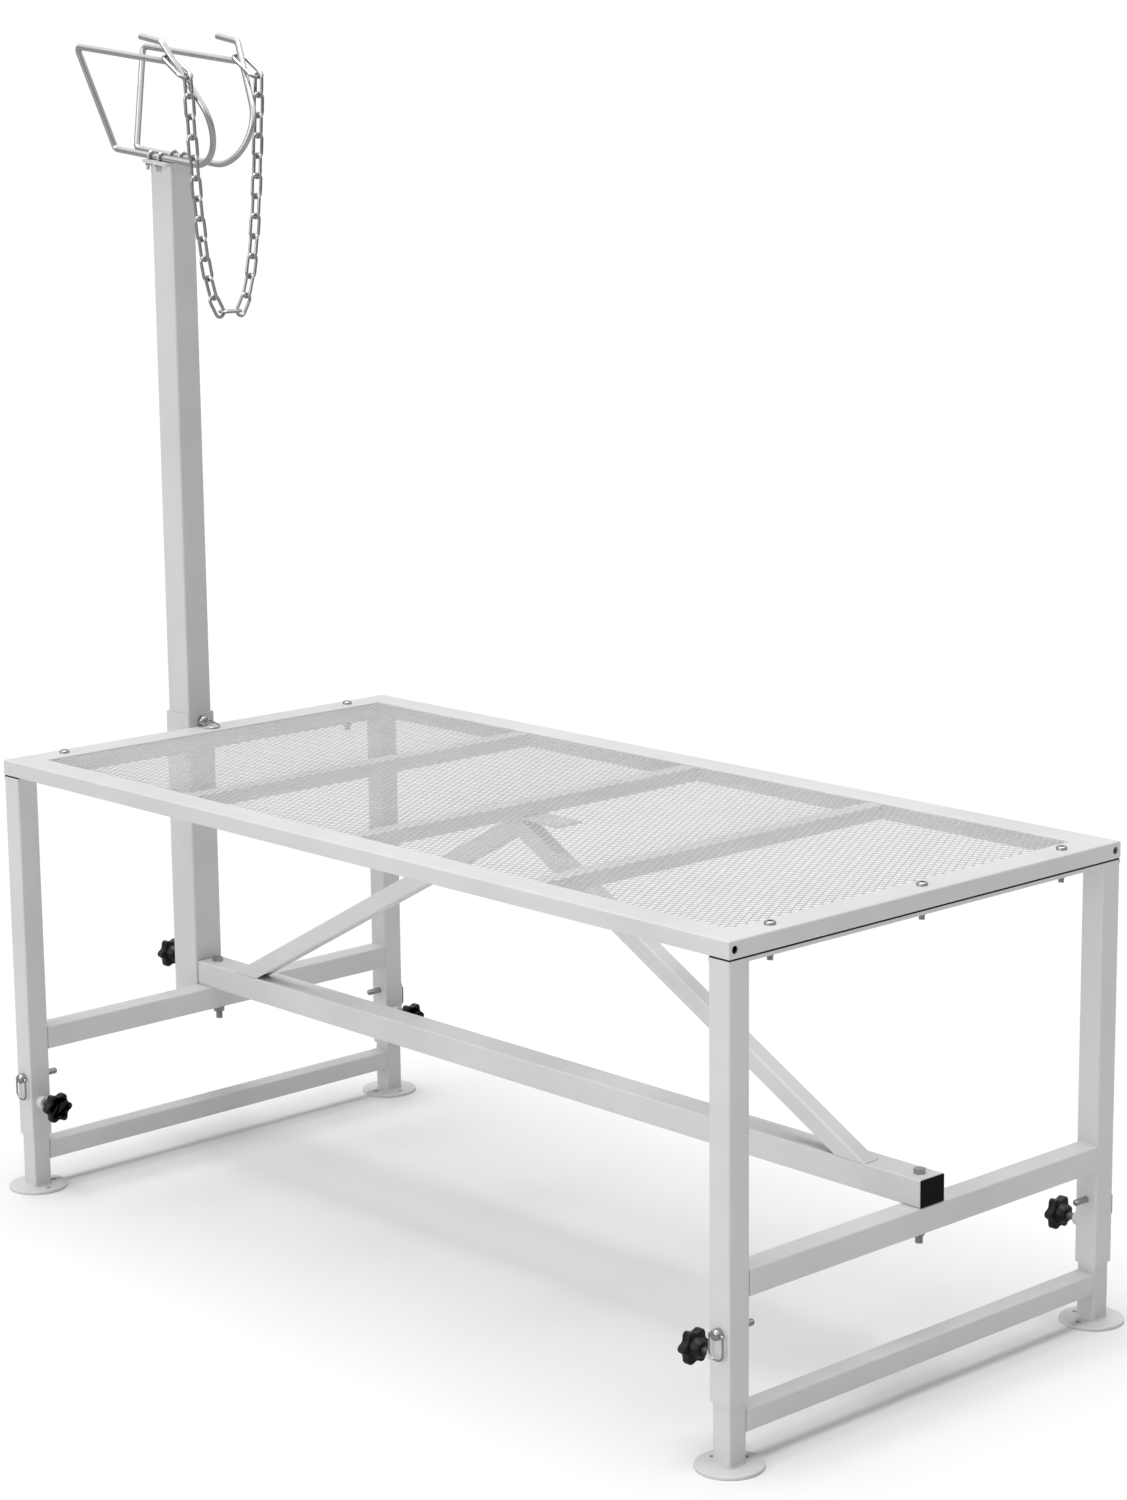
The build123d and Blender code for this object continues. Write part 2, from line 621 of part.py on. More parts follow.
def end_links():
    middle = end_link_plane(END_LINK_LONG / 2 + END_LINK_WIRE)
    near = link(END_LINK_LONG, END_LINK_WIDE, END_LINK_WIRE, middle)
    nodes["chain_end_links"] = group([near, mirror(near, about=Plane.XZ)])


def chain_route():
    """Centres and directions of the hanging links, as a chain of equal weights between two ends.

    Every second link lies in the hanging plane and turns about the centres of its own end
    bends, so it counts short. The links between lie across the plane and count long, but for
    the two that hang on the end links' thicker wire."""
    bend = CHAIN_INNER_WIDE / 2 + CHAIN_WIRE
    length = CHAIN_INNER_LONG + 2 * CHAIN_WIRE
    play = bend - 2 * CHAIN_WIRE - CHAIN_SLACK
    hung = CHAIN_WIRE + END_LINK_WIRE + END_LINK_SLACK
    half = CHAIN_LINKS // 2
    steps = list(range(-half, half + 1))
    spans = [length + 2 * play if step % 2 == half % 2 else length - 2 * bend for step in steps]
    spans[0] = length - hung + play
    spans[-1] = spans[0]
    goal = 2 * abs(chain_anchor().Y)

    def width(pull):
        return sum(span * math.cos(math.atan(step * pull)) for step, span in zip(steps, spans))

    low, high = 0.01, 50.0
    for _ in range(60):
        pull = (low + high) / 2
        if width(pull) > goal:
            low = pull
        else:
            high = pull
    y, z = -goal / 2, 0.0
    route = []
    for step, span in zip(steps, spans):
        angle = math.atan(step * pull)
        reach = span / 2
        if step == -half:
            reach = length / 2 - hung
        if step == half:
            reach = span - length / 2 + hung
        route.append((y + reach * math.cos(angle), z + reach * math.sin(angle), angle, step))
        y += span * math.cos(angle)
        z += span * math.sin(angle)
    return route


def neck_chain():
    anchor = chain_anchor()
    solids = []
    for y, z, angle, step in chain_route():
        along = Vector(0, math.cos(angle), math.sin(angle))
        middle = Vector(anchor.X, y, anchor.Z + z)
        flat = step % 2 != (CHAIN_LINKS // 2) % 2
        across = Vector(0, -math.sin(angle), math.cos(angle)) if flat else Vector(1, 0, 0)
        plane = Plane(middle, x_dir=along, z_dir=along.cross(across))
        solids.append(link(CHAIN_INNER_LONG, CHAIN_INNER_WIDE, CHAIN_WIRE, plane))
    nodes["neck_chain"] = group(solids)


# Hitch pins and rings

def pin_solid(grip):
    """A headed pin along +Z: the seat is at z = 0, the head above it, the shank below."""
    shank = rod_along("-Z", (0, 0, PIN_HEAD_SEAT), PIN_RADIUS, PIN_HEAD_SEAT + grip + PIN_TIP)
    shank = fillet(shank.edges().group_by(Axis.Z)[0], PIN_TIP_ROUND)
    head = extrude(Circle(PIN_HEAD_RADIUS), PIN_HEAD_THICK)
    head = fillet(head.edges().group_by(Axis.Z)[-1], PIN_HEAD_ROUND)
    reach = PIN_HEAD_RADIUS + 1
    eye = rod_along("X", (-reach, 0, ring_height()), RING_WIRE + RING_FIT, 2 * reach)
    return Pos(0, 0, PIN_HEAD_SEAT) * (head - eye) + shank


def ring_height():
    return PIN_HEAD_THICK / 2


def ring_solid():
    """A wire ring in the XZ plane: its straight side runs along X through the pin's eye."""
    half = RING_WIDE / 2 - RING_WIRE
    low = -(RING_LONG - 2 * RING_WIRE)
    corners = [(half, 0), (half, low), (-half, low), (-half, 0)]
    bends = [RING_EYE_BEND, RING_BEND, RING_BEND, RING_EYE_BEND]
    path = Plane.XZ * FilletPolyline(*corners, radius=bends, close=True)
    return sweep(Plane(path @ 0, z_dir=path % 0) * Circle(RING_WIRE), path=path)


def leg_pin_place(sx, sy):
    """Frame of a leg pin: its z axis points out of the leg's outer side, its x along the deck."""
    return Plane((sx * LEG_X, sy * HALF_Y, LEG_PIN_HEIGHT), x_dir=(1, 0, 0), z_dir=(0, sy, 0))


def hitch_pins():
    grip = LEG_TUBE
    for end, sx in ENDS.items():
        for side, sy in SIDES.items():
            place = leg_pin_place(sx, sy)
            nodes[f"{end}_{side}_pin"] = place * pin_solid(grip)
            eye_y = sy * (HALF_Y + PIN_HEAD_SEAT + ring_height())
            nodes[f"{end}_{side}_pin_ring"] = Pos(sx * LEG_X, eye_y, LEG_PIN_HEIGHT) * ring_solid()
    seat = Plane((-HALF_X, 0, POST_PIN_HEIGHT), x_dir=(0, 1, 0), z_dir=(1, 0, 0))
    nodes["post_pin"] = seat * pin_solid(SLEEVE_LONG_SIDE)
    eye_x = -HALF_X + PIN_HEAD_SEAT + ring_height()
    droop = math.degrees(math.asin((POST_PIN_ABOVE_DECK - RING_WIRE - RING_REST) / (RING_LONG - 2 * RING_WIRE)))
    lying = Rotation(0, -(90 - droop), 0) * Rotation(0, 0, 90) * ring_solid()
    nodes["post_pin_ring"] = Pos(eye_x, 0, POST_PIN_HEIGHT) * lying


# Clamp screws

def knob_solid():
    """A star knob along +Z: the flared hub starts at z = 0, the lobes lie above it."""
    star = Circle(KNOB_CORE)
    for lobe in range(KNOB_LOBES):
        star += Rotation(0, 0, lobe * 360 / KNOB_LOBES) * Pos(KNOB_LOBE_OFFSET, 0) * Circle(KNOB_LOBE_RADIUS)
    body = Pos(0, 0, KNOB_HUB_LONG) * extrude(star, KNOB_THICK - KNOB_HUB_LONG)
    top = body.edges().group_by(Axis.Z)[-1]
    body = chamfer(top, KNOB_CHAMFER)
    to_floor = (Align.CENTER, Align.CENTER, Align.MIN)
    hub = Cone(KNOB_HUB_RADIUS, KNOB_HUB_WIDE_RADIUS, KNOB_HUB_LONG, align=to_floor)
    bore = extrude(Circle(STUD_RADIUS + STUD_FIT), KNOB_GRIP + STUD_FIT)
    return body + hub - bore


def clamp_screw(name, place, wall, bosses):
    """A boss, a stud and a knob on a frame whose origin is on the tube's face and z points out."""
    bosses.append(place * extrude(Circle(BOSS_RADIUS) - Circle(STUD_RADIUS + STUD_FIT), BOSS_LONG))
    start = -(wall + SLIDE_GAP) + CLAMP_GAP
    stud = Pos(0, 0, start) * extrude(Circle(STUD_RADIUS), STUD_OUT - start)
    nodes[f"{name}_stud"] = place * stud
    nodes[f"{name}_knob"] = place * Pos(0, 0, BOSS_LONG + KNOB_STANDOFF) * knob_solid()


def clamp_screws():
    bosses = []
    for end, sx in ENDS.items():
        for side, sy in SIDES.items():
            face = (sx * LEG_INNER_FACE, sy * LEG_Y, LEG_KNOB_HEIGHT)
            place = Plane(face, x_dir=(0, 1, 0), z_dir=(-sx, 0, 0))
            clamp_screw(f"{end}_{side}", place, LEG_WALL, bosses)
    place = Plane((SLEEVE_FRONT, 0, POST_KNOB_HEIGHT), x_dir=(0, 1, 0), z_dir=(-1, 0, 0))
    clamp_screw("post", place, SLEEVE_WALL, bosses)
    nodes["clamp_bosses"] = group(bosses)


def build():
    deck_rails()
    deck_mesh()
    cross_bars()
    upper_leg_frames()
    lower_leg_frames()
    beam_and_braces()
    frame_bolts()
    post_and_sleeve()
    head_holder()
    end_links()
    neck_chain()
    hitch_pins()
    clamp_screws()


build()
boxes = [shape.bounding_box() for shape in nodes.values()]
low_x, high_x = min(box.min.X for box in boxes), max(box.max.X for box in boxes)
ORIGIN_X = (low_x + high_x) / 2
os.makedirs("parts", exist_ok=True)
for name, shape in nodes.items():
    export_step(Pos(-ORIGIN_X, 0, 0) * shape, f"parts/{name}.step")

print("nodes", len(nodes))
print("origin lies at x", round(ORIGIN_X, 3))
print("end link seat", end_link_seat() - Vector(ORIGIN_X, 0, 0))
print("chain anchor", chain_anchor() - Vector(ORIGIN_X, 0, 0))
print("chain hangs down by", round(-min(z for _, z, _, _ in chain_route()), 1))
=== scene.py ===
# %% [markdown]
# # A milking stand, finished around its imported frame
# The construction is already there: every tube, rod, pin and link stands at its real place.
# This lesson gives it its finish. We load the frame, cut the fine mesh of the deck, turn the
# knobs, cut the screw threads, lay the weld beads, and paint and plate every piece. Then we
# light it as a plain studio shot and set up the camera.

# %% Load the frame
import json
import math

import bpy
from mathutils import Matrix, Vector


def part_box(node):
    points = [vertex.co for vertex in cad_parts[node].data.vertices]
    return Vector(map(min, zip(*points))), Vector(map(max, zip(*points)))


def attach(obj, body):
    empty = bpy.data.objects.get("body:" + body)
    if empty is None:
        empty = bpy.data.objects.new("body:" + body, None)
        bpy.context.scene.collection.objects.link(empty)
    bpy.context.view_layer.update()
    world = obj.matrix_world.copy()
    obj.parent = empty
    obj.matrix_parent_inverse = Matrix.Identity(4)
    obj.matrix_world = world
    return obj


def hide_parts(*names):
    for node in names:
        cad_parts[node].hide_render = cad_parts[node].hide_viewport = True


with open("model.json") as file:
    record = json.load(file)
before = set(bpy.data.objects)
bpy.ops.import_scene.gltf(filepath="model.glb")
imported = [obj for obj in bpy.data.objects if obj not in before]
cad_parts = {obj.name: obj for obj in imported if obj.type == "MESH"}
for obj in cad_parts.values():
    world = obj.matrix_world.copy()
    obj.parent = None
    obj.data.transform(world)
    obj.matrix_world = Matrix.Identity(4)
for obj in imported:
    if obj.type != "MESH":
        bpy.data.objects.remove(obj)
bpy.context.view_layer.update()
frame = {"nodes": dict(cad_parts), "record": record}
nodes = frame["nodes"]
print("pieces in the frame:", len(nodes))

# %% [markdown]
# ## Small helpers
# Everything below is modelled as by hand: add a primitive, shape it in edit mode, and finish
# it with modifiers that are applied. An operator works on whatever is selected, and the frame
# comes in selected, so each new piece starts from an empty selection.

# %% Helpers for modelling
ENDS = {"head": -1, "tail": 1}
SIDES = ("near", "far")
MM = 0.001


def start_clean():
    """Leaves edit mode and selects nothing."""
    if bpy.context.object and bpy.context.object.mode != "OBJECT":
        bpy.ops.object.mode_set(mode="OBJECT")
    bpy.ops.object.select_all(action="DESELECT")


def pick(piece):
    """Makes one object the only selected one."""
    start_clean()
    piece.select_set(True)
    bpy.context.view_layer.objects.active = piece
    return piece


def newest(name):
    """Names the object that the last operator made."""
    piece = bpy.context.object
    piece.name = name
    piece.data.name = name
    return piece


def apply_place(piece):
    """Moves an object's place, turn and scale into its mesh."""
    pick(piece)
    bpy.ops.object.transform_apply(location=True, rotation=True, scale=True)
    return piece


def apply_modifier(piece, kind, **settings):
    """Adds a modifier and applies it at once."""
    pick(piece)
    modifier = piece.modifiers.new(kind.title(), kind)
    for setting, value in settings.items():
        setattr(modifier, setting, value)
    bpy.ops.object.modifier_apply(modifier=modifier.name)
    return piece


def select_faces(piece, test):
    """Goes into edit mode with only the faces selected whose centre and normal pass a test."""
    pick(piece)
    bpy.ops.object.mode_set(mode="EDIT")
    bpy.ops.mesh.select_mode(type="FACE")
    bpy.ops.mesh.select_all(action="DESELECT")
    bpy.ops.object.mode_set(mode="OBJECT")
    for face in piece.data.polygons:
        face.select = bool(test(face.center, face.normal))
    bpy.ops.object.mode_set(mode="EDIT")


def outward(piece):
    """Turns every face outwards."""
    pick(piece)
    bpy.ops.object.mode_set(mode="EDIT")
    bpy.ops.mesh.select_all(action="SELECT")
    bpy.ops.mesh.normals_make_consistent(inside=False)
    bpy.ops.object.mode_set(mode="OBJECT")
    return piece


def smooth(piece, degrees):
    """Shades smooth, but keeps every edge sharper than an angle."""
    pick(piece)
    bpy.ops.object.shade_smooth_by_angle(angle=math.radians(degrees))
    return piece


def join(pieces, name):
    """Makes one object of several."""
    start_clean()
    for piece in pieces:
        piece.select_set(True)
    bpy.context.view_layer.objects.active = pieces[0]
    bpy.ops.object.join()
    return newest(name)


def copy_of(piece, name, place):
    """A copy with its own mesh, moved by a matrix."""
    twin = piece.copy()
    twin.data = piece.data.copy()
    twin.name = twin.data.name = name
    bpy.context.scene.collection.objects.link(twin)
    twin.data.transform(place)
    return twin


def remove(piece):
    bpy.data.objects.remove(piece, do_unlink=True)


def middle(node):
    low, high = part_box(node)
    return (low + high) / 2


def finish(piece, material, body):
    """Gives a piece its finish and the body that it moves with."""
    piece.data.materials.clear()
    piece.data.materials.append(material)
    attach(piece, body)
    return piece


# %% [markdown]
# ## Finishes
# The stand has few finishes, so each one has to be right. A finish is a principled shader
# with a little noise in its colour, its roughness and its surface. The noise reads Object
# coordinates in metres, so its grain has a real size and stays put on the piece.

# %% Helpers for materials
def new_material(name, colour, rough, metal=0.0):
    """A principled material, with its tree and its shader at hand."""
    material = bpy.data.materials.new(name)
    material.use_nodes = True
    tree = material.node_tree
    shader = tree.nodes["Principled BSDF"]
    shader.inputs["Base Color"].default_value = (*colour, 1)
    shader.inputs["Metallic"].default_value = metal
    shader.inputs["Roughness"].default_value = rough
    return material, tree, shader


def place_node(tree):
    """Object coordinates: metres, fixed to the piece."""
    return tree.nodes.new("ShaderNodeTexCoord").outputs["Object"]


def noise(tree, place, grain, detail):
    """Noise whose spots are about one grain wide, in metres."""
    node = tree.nodes.new("ShaderNodeTexNoise")
    node.inputs["Scale"].default_value = 1 / grain
    node.inputs["Detail"].default_value = detail
    tree.links.new(place, node.inputs["Vector"])
    return node.outputs["Fac"]


def ramp(tree, value, low, high, first, last):
    """Maps a value between two limits to a number or a colour."""
    if isinstance(first, (int, float)):
        node = tree.nodes.new("ShaderNodeMapRange")
        node.inputs["From Min"].default_value = low
        node.inputs["From Max"].default_value = high
        node.inputs["To Min"].default_value = first
        node.inputs["To Max"].default_value = last
        tree.links.new(value, node.inputs["Value"])
        return node.outputs["Result"]
    node = tree.nodes.new("ShaderNodeValToRGB")
    node.color_ramp.elements[0].position = low
    node.color_ramp.elements[1].position = high
    node.color_ramp.elements[0].color = (*first, 1)
    node.color_ramp.elements[1].color = (*last, 1)
    tree.links.new(value, node.inputs["Fac"])
    return node.outputs["Color"]


def mix_colour(tree, share, first, second):
    """Mixes two colours by a share from 0 to 1."""
    node = tree.nodes.new("ShaderNodeMix")
    node.data_type = "RGBA"
    tree.links.new(share, node.inputs["Factor"])
    for socket, colour in ((node.inputs[6], first), (node.inputs[7], second)):
        if isinstance(colour, tuple):
            socket.default_value = (*colour, 1)
        else:
            tree.links.new(colour, socket)
    return node.outputs[2]


def bump(tree, shader, height, distance):
    """Raises the surface by a pattern, whose full height is a distance in metres."""
    node = tree.nodes.new("ShaderNodeBump")
    node.inputs["Strength"].default_value = 1.0
    node.inputs["Distance"].default_value = distance
    tree.links.new(height, node.inputs["Height"])
    tree.links.new(node.outputs["Normal"], shader.inputs["Normal"])


# %% [markdown]
# ### Powder coat
# Powder melts into a skin with a faint orange peel: shallow hills two or three millimetres
# apart. The colour is almost even, a touch cooler where the coat is thin. Dust and dull
# handling marks only change the roughness, in patches the size of a hand.

# %% Powder coat
PAINT_LIGHT = (0.655, 0.658, 0.658)
PAINT_DARK = (0.600, 0.605, 0.608)
PAINT_FLECK = (0.48, 0.49, 0.49)
COAT_PATCH = 160 * MM
HANDLING_PATCH = 50 * MM
FLECK = 1.1 * MM
PEEL = 2.6 * MM
PEEL_DEPTH = 0.06 * MM


def powder_coat():
    """Even light grey paint with orange peel, faint flecks and duller patches."""
    material, tree, shader = new_material("powder_coat", PAINT_LIGHT, rough=0.42)
    place = place_node(tree)
    patches = noise(tree, place, COAT_PATCH, 4)
    colour = ramp(tree, patches, 0.35, 0.7, PAINT_LIGHT, PAINT_DARK)
    fleck = ramp(tree, noise(tree, place, FLECK, 2), 0.70, 0.78, 0.0, 0.35)
    tree.links.new(mix_colour(tree, fleck, colour, PAINT_FLECK), shader.inputs["Base Color"])
    handled = noise(tree, place, HANDLING_PATCH, 5)
    tree.links.new(ramp(tree, handled, 0.3, 0.75, 0.36, 0.56), shader.inputs["Roughness"])
    bump(tree, shader, noise(tree, place, PEEL, 1.5), PEEL_DEPTH)
    return material


paint = powder_coat()

# %% [markdown]
# ### Zinc plate
# Plated steel is metal all through, so its colour sits in the reflection. Small crystals and
# a faint grain break the shine, and a breath of yellow and blue keeps it from looking like
# chrome. The rods are brightest, and the screws and pins are darker.

# %% Zinc plate
CRYSTAL = 4 * MM
ZINC_GRAIN = 1.2 * MM
ZINC_GRAIN_DEPTH = 0.006 * MM


def zinc_plate(name, tone, rough, warmth=0.02):
    """Plated steel: its tone is how much it mirrors, and warmth is how far its tint wanders."""
    warm = (tone + warmth, tone + warmth * 0.6, tone - warmth * 0.4)
    cool = (tone - warmth, tone - warmth * 0.4, tone + warmth * 0.4)
    material, tree, shader = new_material(name, (tone, tone, tone), metal=1.0, rough=rough)
    place = place_node(tree)
    crystals = noise(tree, place, CRYSTAL, 4)
    tree.links.new(ramp(tree, crystals, 0.35, 0.65, warm, cool), shader.inputs["Base Color"])
    grain = noise(tree, place, ZINC_GRAIN, 3)
    shine = ramp(tree, grain, 0.3, 0.7, rough - 0.08, rough + 0.12)
    tree.links.new(shine, shader.inputs["Roughness"])
    bump(tree, shader, grain, ZINC_GRAIN_DEPTH)
    return material


rod_zinc = zinc_plate("rod_zinc", 0.56, 0.26)
chain_zinc = zinc_plate("chain_zinc", 0.44, 0.20)
screw_zinc = zinc_plate("screw_zinc", 0.36, 0.26, warmth=0.03)
pin_zinc = zinc_plate("pin_zinc", 0.40, 0.18)

# %% [markdown]
# ### Black plastic and the packing strip
# Moulded knobs and plugs come out of a spark-eroded mould, with a fine even grain. Corners
# that hands touch are a little shinier. The packing strip is matt rubber, and its near-black
# colour also paints the shade in the seam between the deck and the legs.

# %% Black plastic, and the rubber strip that paints the seam's shade
WORN_PATCH = 11 * MM
DUST = 0.006


def moulded_black(name, colour, rough, grain, depth, shine=0.25):
    """A dark moulding: its roughness lies between two limits, and its grain has a depth."""
    material, tree, shader = new_material(name, colour, rough=sum(rough) / 2)
    shader.inputs["Specular IOR Level"].default_value = shine
    place = place_node(tree)
    worn = noise(tree, place, WORN_PATCH, 3)
    tree.links.new(ramp(tree, worn, 0.35, 0.65, *rough), shader.inputs["Roughness"])
    dusty = tuple(c + DUST for c in colour)
    tree.links.new(ramp(tree, worn, 0.4, 0.8, colour, dusty), shader.inputs["Base Color"])
    bump(tree, shader, noise(tree, place, grain, 2), depth)
    return material


knob_black = moulded_black(
    "knob_black", (0.006, 0.006, 0.007), (0.30, 0.46), grain=0.7 * MM, depth=0.03 * MM)
plug_black = moulded_black(
    "plug_black", (0.003, 0.003, 0.004), (0.45, 0.60), grain=0.6 * MM, depth=0.03 * MM, shine=0.08)
# Near black, so that the strip also paints the shade in the seam between the deck and the legs.
strip_and_painted_seam_shade = moulded_black(
    "strip_and_painted_seam_shade", (0.012, 0.012, 0.012), (0.75, 0.90), grain=0.9 * MM, depth=0.05 * MM)

# %% Finish the pieces that come from the frame
FINISHES = {
    "paint": paint, "mesh": paint, "rod": rod_zinc, "chain": chain_zinc, "zinc": screw_zinc,
    "pin": pin_zinc, "knob": knob_black, "plug": plug_black, "strip": strip_and_painted_seam_shade,
}
slot_of = {part["node"]: part["material_slot"] for part in frame["record"]["subparts"]}
for name, node in nodes.items():
    node.data.materials.clear()
    node.data.materials.append(FINISHES[slot_of[name]])
print("finished frame pieces:", len(nodes))

# %% [markdown]
# ## The deck's mesh
# The deck is flattened expanded metal: one sheet, slit and pulled into staggered diamonds,
# then rolled flat. All its openings are alike, so we make one diamond ring of four strands
# and repeat it with two Array modifiers. The sheet is thin, so that the bars under it show.
# The strands are a little narrower on top, as the rolling leaves them. The panels are cut to
# the deck's opening with bisect, one panel for each field between the cross bars, so that no
# single piece grows too heavy.

# %% Expanded metal
CELL_X = 9.6 * MM
CELL_Y = 16.2 * MM
STRAND_WIDE = 1.25 * MM
STRAND_OVERLAP = 0.55 * STRAND_WIDE
TOP_SHARE = (0.97, 0.7)
SHEET = 0.8 * MM


def diamond_ring(thick):
    """One diamond of four strands about the origin."""
    start_clean()
    run = Vector((CELL_X / 2, CELL_Y / 2, 0))
    bpy.ops.mesh.primitive_cube_add(size=1)
    strand = newest("strand")
    strand.scale = (run.length + STRAND_OVERLAP, STRAND_WIDE, thick)
    apply_place(strand)
    select_faces(strand, lambda centre, normal: normal.z > 0.9)
    bpy.ops.transform.resize(value=(*TOP_SHARE, 1))
    bpy.ops.object.mode_set(mode="OBJECT")
    strand.rotation_euler.z = math.atan2(run.y, -run.x)
    strand.location = (CELL_X / 4, CELL_Y / 4, 0)
    apply_place(strand)
    for axis in (0, 1):
        pick(strand)
        mirror = strand.modifiers.new("Mirror", "MIRROR")
        mirror.use_axis = [axis == 0, axis == 1, False]
        mirror.use_mirror_merge = False
        bpy.ops.object.modifier_apply(modifier=mirror.name)
    return strand


def crop(piece, low, high):
    """Cuts a piece off outside a box seen from above, and closes the cuts."""
    for axis in (0, 1):
        for limit, keep_above in ((low[axis], True), (high[axis], False)):
            pick(piece)
            bpy.ops.object.mode_set(mode="EDIT")
            bpy.ops.mesh.select_all(action="SELECT")
            point, normal = [0, 0, 0], [0, 0, 0]
            point[axis], normal[axis] = limit, 1
            bpy.ops.mesh.bisect(
                plane_co=point, plane_no=normal, use_fill=True,
                clear_inner=keep_above, clear_outer=not keep_above,
            )
            bpy.ops.object.mode_set(mode="OBJECT")


def mesh_panel(number, low, high):
    """One field of the deck's mesh, between two corners."""
    panel = diamond_ring(high.z - low.z)
    first_x = math.floor(low.x / CELL_X) * CELL_X
    first_y = math.floor(low.y / CELL_Y) * CELL_Y
    count_x = math.ceil((high.x - first_x) / CELL_X) + 1
    count_y = math.ceil((high.y - first_y) / CELL_Y) + 1
    for axis, step, count in ((0, CELL_X, count_x), (1, CELL_Y, count_y)):
        offset = [0, 0, 0]
        offset[axis] = step
        apply_modifier(
            panel, "ARRAY", count=count, use_relative_offset=False,
            use_constant_offset=True, constant_offset_displace=offset,
        )
    panel.location = (first_x, first_y, (low.z + high.z) / 2)
    apply_place(panel)
    crop(panel, low, high)
    panel.name = panel.data.name = f"deck_mesh_panel_{number}"
    return finish(panel, paint, "stand")


low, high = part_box("deck_mesh")
bars = [middle(f"{place}_cross_bar").x for place in ("head", "middle", "tail")]
edges = [low.x, *bars, high.x]
for number, (left, right) in enumerate(zip(edges, edges[1:]), start=1):
    panel = mesh_panel(number, Vector((left, low.y, low.z)), Vector((right, high.y, low.z + SHEET)))
    if number == 1:
        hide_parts("deck_mesh")
    print(panel.name, "triangles:", sum(len(face.vertices) - 2 for face in panel.data.polygons))

# %% [markdown]
# ## Star knobs
# A star knob is a thick star on a flared collar. The star starts as a 36-sided drum. Its rim
# points are pulled in by how far they are from the middle of a lobe, which gives six round
# lobes with smooth valleys. The face is sunk a little and keeps a raised cap in its middle,
# and a bevel rounds every edge. The collar is a cone that grows towards the star.

# %% Star knobs
LOBES = 6
RIM_POINTS = 36
# The radius in millimetres by how far a point is round its lobe: 1 at the tip, -1 in the valley.
LOBE_RADII = {1.0: 20.1, 0.5: 18.9, -0.5: 16.2, -1.0: 15.1}
STAR_TALL = 10.5 * MM
STAR_ROUND = 1.0 * MM
COLLAR_TALL = 9.5 * MM
COLLAR_RADII = (8.0 * MM, 12.5 * MM)
COLLAR_ROUND = 0.5 * MM
SHARP = math.radians(50)
# Steps of the face from its edge to its middle: how far in, and how far up, in millimetres.
FACE_STEPS = ((2.4, -0.9), (5.2, 0.0), (0.9, 0.9))


def select_points(piece, test):
    """Goes into edit mode with only the points selected that pass a test."""
    pick(piece)
    bpy.ops.object.mode_set(mode="EDIT")
    bpy.ops.mesh.select_mode(type="VERT")
    bpy.ops.mesh.select_all(action="DESELECT")
    bpy.ops.object.mode_set(mode="OBJECT")
    for point in piece.data.vertices:
        point.select = bool(test(point.co))
    bpy.ops.object.mode_set(mode="EDIT")


def star_drum():
    """The star plate, on top of where the collar will be."""
    start_clean()
    rim = LOBE_RADII[1.0] * MM
    bpy.ops.mesh.primitive_cylinder_add(vertices=RIM_POINTS, radius=rim, depth=STAR_TALL)
    drum = newest("drum")
    drum.location.z = COLLAR_TALL + STAR_TALL / 2
    apply_place(drum)
    for wave, radius in LOBE_RADII.items():
        select_points(
            drum, lambda point: abs(math.cos(LOBES * math.atan2(point.y, point.x)) - wave) < 0.1)
        share = radius * MM / rim
        bpy.ops.transform.resize(value=(share, share, 1))
        bpy.ops.object.mode_set(mode="OBJECT")
    for inset, rise in FACE_STEPS:
        select_faces(drum, lambda centre, normal: normal.z > 0.9 and centre.xy.length < MM)
        bpy.ops.mesh.inset(thickness=inset * MM, depth=0)
        bpy.ops.transform.translate(value=(0, 0, rise * MM))
        bpy.ops.object.mode_set(mode="OBJECT")
    return apply_modifier(drum, "BEVEL", width=STAR_ROUND, segments=3, limit_method="ANGLE",
                          angle_limit=SHARP)


def star_knob():
    drum = star_drum()
    start_clean()
    bpy.ops.mesh.primitive_cone_add(
        vertices=40, radius1=COLLAR_RADII[0], radius2=COLLAR_RADII[1], depth=COLLAR_TALL,
        location=(0, 0, COLLAR_TALL / 2),
    )
    collar = apply_place(newest("collar"))
    apply_modifier(collar, "BEVEL", width=COLLAR_ROUND, segments=2, limit_method="ANGLE",
                   angle_limit=SHARP)
    return smooth(join([drum, collar], "star_knob"), 40)


# Each clamp screw points inwards from its leg, and the post's points away from the deck.
CLAMPS = {f"{end}_{side}": -sign for end, sign in ENDS.items() for side in SIDES}
CLAMPS["post"] = -1


def clamp_place(node, direction):
    """The frame of a clamp screw's piece: its z axis points out along X, from its inner end."""
    low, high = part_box(node)
    inner = low.x if direction > 0 else high.x
    place = Vector((inner, (low.y + high.y) / 2, (low.z + high.z) / 2))
    turn = Matrix.Rotation(direction * math.pi / 2, 4, "Y") @ Matrix.Rotation(math.pi / 2, 4, "Z")
    return Matrix.Translation(place) @ turn


pattern = star_knob()
for name, direction in CLAMPS.items():
    knob = copy_of(pattern, f"{name}_star_knob", clamp_place(f"{name}_knob", direction))
    finish(knob, knob_black, f"{name}_star_knob")
    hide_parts(f"{name}_knob")
remove(pattern)

# %% [markdown]
# ## Screw threads
# A thread is a small triangle, screwed up a core. The triangle is a circle of three points,
# stood on end beside the axis, and the Screw modifier turns it once for each pitch.

# %% Threaded studs
TURN_STEPS = 18
# The triangle's radius as a share of the pitch, then shares of the thread's depth: how high
# the ridge stands, how far in its middle sits, and how deep the core lies.
RIDGE_REACH = 0.46
RIDGE_HEIGHT = 0.8
RIDGE_SEAT = 0.55
CORE_DEPTH = 0.9


